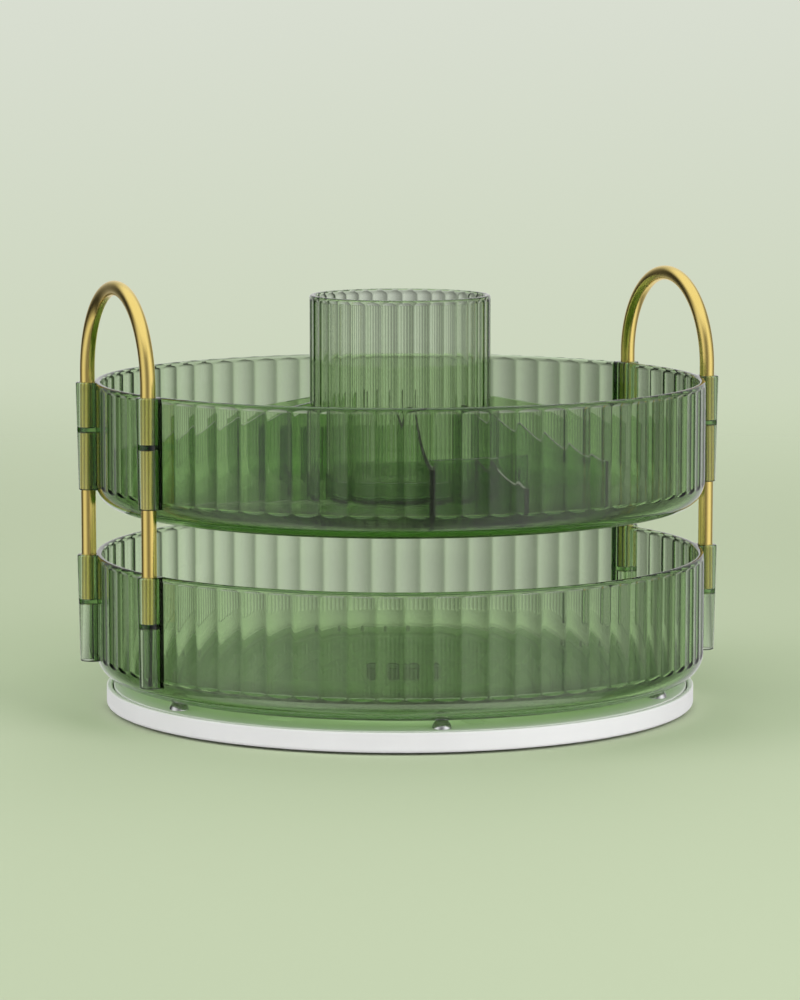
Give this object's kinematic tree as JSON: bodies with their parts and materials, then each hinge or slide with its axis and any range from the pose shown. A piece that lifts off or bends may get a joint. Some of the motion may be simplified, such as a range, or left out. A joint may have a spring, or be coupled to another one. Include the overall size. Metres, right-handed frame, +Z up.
{
  "type": "lazy susan turntable",
  "caption": "Turning two-tier organiser: clear green fluted trays on gold posts, with a cup and dividers on top, gold arch handles and a white base with a ball bearing ring.",
  "frame": {"origin": "middle of the face that the foot pads stand on", "axes": "+Z up along the turning axis, X from the left handle to the right handle, front towards -Y"},
  "size_m": [0.2546, 0.25, 0.1775],
  "materials": {
    "green_clear_plastic": "clear tinted, polished",
    "gold_metal": "satin gold plated",
    "white_plastic": "satin moulded",
    "pivot_plastic": "satin moulded",
    "ball_steel": "polished",
    "rubber_pad": "matt"
  },
  "bodies": {
    "base": {"base_plate": "white_plastic", "foot_pad_1": "rubber_pad", "foot_pad_2": "rubber_pad", "foot_pad_3": "rubber_pad", "foot_pad_4": "rubber_pad", "foot_pad_5": "rubber_pad", "foot_pad_6": "rubber_pad"},
    "bearing_ring": {"bearing_ring": "white_plastic"},
    "pivot": {"pivot_pin": "pivot_plastic"},
    "lower_tray": {"lower_tray": "green_clear_plastic"},
    "posts": {"post_front_left": "gold_metal", "post_front_right": "gold_metal", "post_back_left": "gold_metal", "post_back_right": "gold_metal"},
    "upper_tray": {"upper_tray": "green_clear_plastic"},
    "brush_cup": {"brush_cup": "green_clear_plastic"},
    "divider_insert": {"divider_insert": "green_clear_plastic"},
    "handle_left": {"handle_left": "gold_metal"},
    "handle_right": {"handle_right": "gold_metal"},
    "ball_1": {"bearing_ball_1": "ball_steel"},
    "ball_2": {"bearing_ball_2": "ball_steel"},
    "ball_3": {"bearing_ball_3": "ball_steel"},
    "ball_4": {"bearing_ball_4": "ball_steel"},
    "ball_5": {"bearing_ball_5": "ball_steel"},
    "ball_6": {"bearing_ball_6": "ball_steel"}
  },
  "joints": [
    {"name": "ring_lift", "type": "slide", "parent": "base", "child": "bearing_ring", "axis": [0, 0, 1], "range_m": [0, 0.058]},
    {"name": "turntable_spin", "type": "hinge", "parent": "bearing_ring", "child": "pivot", "pos_m": [0, 0, 0.0055], "axis": [0, 0, 1], "continuous": true},
    {"name": "turntable_lift", "type": "slide", "parent": "pivot", "child": "lower_tray", "axis": [0, 0, 1], "range_m": [0, 0.034]},
    {"name": "posts_pull", "type": "slide", "parent": "lower_tray", "child": "posts", "axis": [0, 0, 1], "range_m": [0, 0.025]},
    {"name": "upper_tray_lift", "type": "slide", "parent": "posts", "child": "upper_tray", "axis": [0, 0, 1], "range_m": [0, 0.0525]},
    {"name": "handle_left_pull", "type": "slide", "parent": "upper_tray", "child": "handle_left", "axis": [0, 0, 1], "range_m": [0, 0.03]},
    {"name": "handle_right_pull", "type": "slide", "parent": "upper_tray", "child": "handle_right", "axis": [0, 0, 1], "range_m": [0, 0.03]},
    {"name": "cup_lift", "type": "slide", "parent": "upper_tray", "child": "brush_cup", "axis": [0, 0, 1], "range_m": [0, 0.06]},
    {"name": "insert_lift", "type": "slide", "parent": "upper_tray", "child": "divider_insert", "axis": [0, 0, 1], "range_m": [0, 0.055]},
    {"name": "ball_1_roll", "type": "hinge", "parent": "bearing_ring", "child": "ball_1", "pos_m": [0.1077, 0.02886, 0.0086], "axis": [0.9659, 0.2588, 0], "continuous": true},
    {"name": "ball_2_roll", "type": "hinge", "parent": "bearing_ring", "child": "ball_2", "pos_m": [0.02886, 0.1077, 0.0086], "axis": [0.2588, 0.9659, 0], "continuous": true},
    {"name": "ball_3_roll", "type": "hinge", "parent": "bearing_ring", "child": "ball_3", "pos_m": [-0.07884, 0.07884, 0.0086], "axis": [-0.7071, 0.7071, 0], "continuous": true},
    {"name": "ball_4_roll", "type": "hinge", "parent": "bearing_ring", "child": "ball_4", "pos_m": [-0.1077, -0.02886, 0.0086], "axis": [-0.9659, -0.2588, 0], "continuous": true},
    {"name": "ball_5_roll", "type": "hinge", "parent": "bearing_ring", "child": "ball_5", "pos_m": [-0.02886, -0.1077, 0.0086], "axis": [-0.2588, -0.9659, 0], "continuous": true},
    {"name": "ball_6_roll", "type": "hinge", "parent": "bearing_ring", "child": "ball_6", "pos_m": [0.07884, -0.07884, 0.0086], "axis": [0.7071, -0.7071, 0], "continuous": true}
  ],
  "couplings": [
    {"joint": "ball_1_roll", "follows": "turntable_spin", "ratio": -27.875},
    {"joint": "ball_2_roll", "follows": "turntable_spin", "ratio": -27.875},
    {"joint": "ball_3_roll", "follows": "turntable_spin", "ratio": -27.875},
    {"joint": "ball_4_roll", "follows": "turntable_spin", "ratio": -27.875},
    {"joint": "ball_5_roll", "follows": "turntable_spin", "ratio": -27.875},
    {"joint": "ball_6_roll", "follows": "turntable_spin", "ratio": -27.875}
  ]
}
